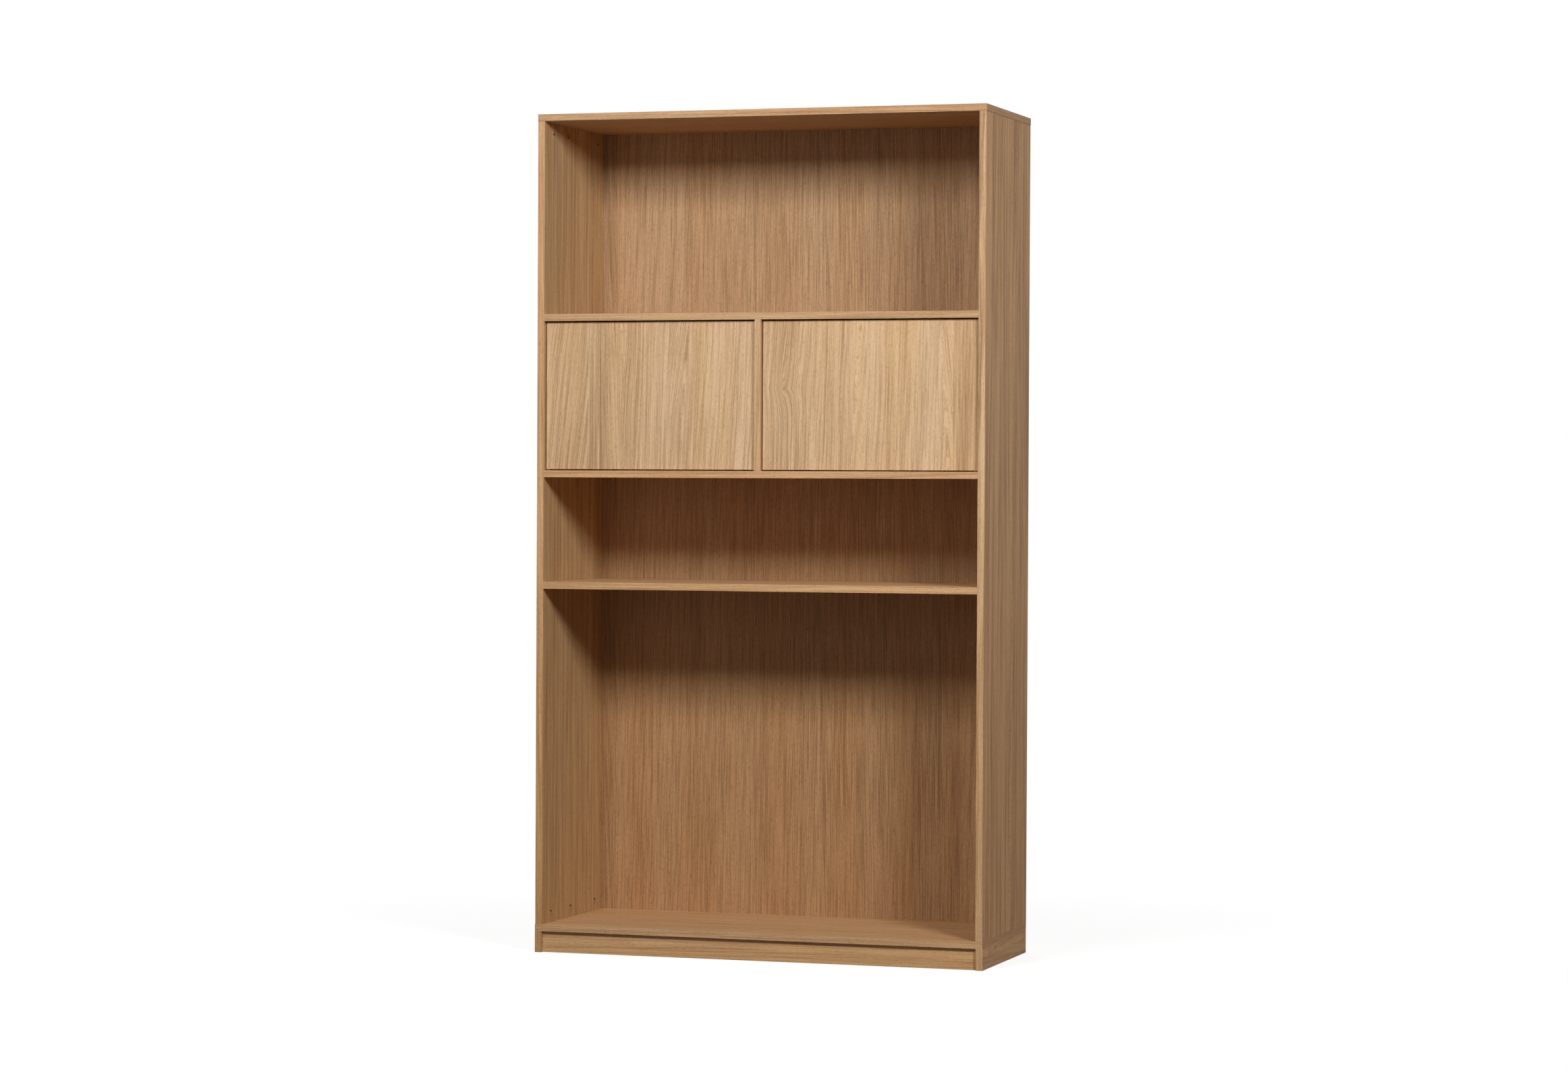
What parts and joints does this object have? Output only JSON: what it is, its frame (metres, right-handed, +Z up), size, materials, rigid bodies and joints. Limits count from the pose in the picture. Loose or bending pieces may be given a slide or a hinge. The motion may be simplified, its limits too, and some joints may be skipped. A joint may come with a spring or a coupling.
{
  "type": "bookcase with cabinet doors",
  "caption": "Tall oak-veneered bookcase on a plinth, with open bays above and below a pair of inset handleless cupboard doors on pivot hinges with push latches.",
  "frame": {"origin": "floor level at the middle of the plan, under the plinth", "axes": "+Z up, -Y out of the front where the doors open, +X to the right seen from the front"},
  "size_m": [1.19, 0.435, 2.15],
  "materials": {
    "oak_veneer": "matt lacquer",
    "oak_back": "matt lacquer",
    "cap_plastic": "matt",
    "zinc_steel": "zinc plated",
    "zinc_alloy": "cast",
    "grey_plastic": "matt",
    "black_nylon": "matt",
    "dark_magnet": "sintered",
    "beech": "raw"
  },
  "bodies": {
    "case": {"top_panel": "oak_veneer", "bottom_panel": "oak_veneer", "left_side": "oak_veneer", "right_side": "oak_veneer", "upper_shelf": "oak_veneer", "lower_shelf": "oak_veneer", "open_shelf": "oak_veneer", "centre_divider": "oak_veneer", "back_panel": "oak_back", "plinth_left_board": "oak_veneer", "plinth_right_board": "oak_veneer", "plinth_front_board": "oak_veneer", "plinth_rear_board": "oak_veneer", "left_upper_pivot_bush": "black_nylon", "left_lower_pivot_bush": "black_nylon", "right_upper_pivot_bush": "black_nylon", "right_lower_pivot_bush": "black_nylon", "left_latch_housing": "grey_plastic", "right_latch_housing": "grey_plastic", "latch_screws": "zinc_steel", "cam_locks": "zinc_alloy", "cam_bolts": "zinc_steel", "cam_cover_caps": "cap_plastic", "dowels": "beech", "back_panel_screws": "zinc_steel"},
    "left_door": {"left_door": "oak_veneer", "left_upper_hinge_leaf": "zinc_steel", "left_upper_hinge_pin": "zinc_steel", "left_lower_hinge_leaf": "zinc_steel", "left_lower_hinge_pin": "zinc_steel", "left_hinge_screws": "zinc_steel", "left_strike_plate": "zinc_steel", "left_strike_screws": "zinc_steel"},
    "right_door": {"right_door": "oak_veneer", "right_upper_hinge_leaf": "zinc_steel", "right_upper_hinge_pin": "zinc_steel", "right_lower_hinge_leaf": "zinc_steel", "right_lower_hinge_pin": "zinc_steel", "right_hinge_screws": "zinc_steel", "right_strike_plate": "zinc_steel", "right_strike_screws": "zinc_steel"},
    "left_plunger": {"left_latch_plunger": "grey_plastic", "left_latch_magnet": "dark_magnet"},
    "right_plunger": {"right_latch_plunger": "grey_plastic", "right_latch_magnet": "dark_magnet"}
  },
  "joints": [
    {"name": "left_door_hinge", "type": "hinge", "parent": "case", "child": "left_door", "pos_m": [-0.5675, -0.2005, 1.429], "axis": [0, 0, -1], "range_deg": [0, 100]},
    {"name": "right_door_hinge", "type": "hinge", "parent": "case", "child": "right_door", "pos_m": [0.5675, -0.2005, 1.429], "axis": [0, 0, 1], "range_deg": [0, 100]},
    {"name": "left_plunger_slide", "type": "slide", "parent": "case", "child": "left_plunger", "axis": [0, -1, 0], "range_m": [0, 0.014]},
    {"name": "right_plunger_slide", "type": "slide", "parent": "case", "child": "right_plunger", "axis": [0, -1, 0], "range_m": [0, 0.014]}
  ],
  "couplings": [
    {"joint": "left_plunger_slide", "follows": "left_door_hinge", "m_per_rad": 0.008},
    {"joint": "right_plunger_slide", "follows": "right_door_hinge", "m_per_rad": 0.008}
  ]
}
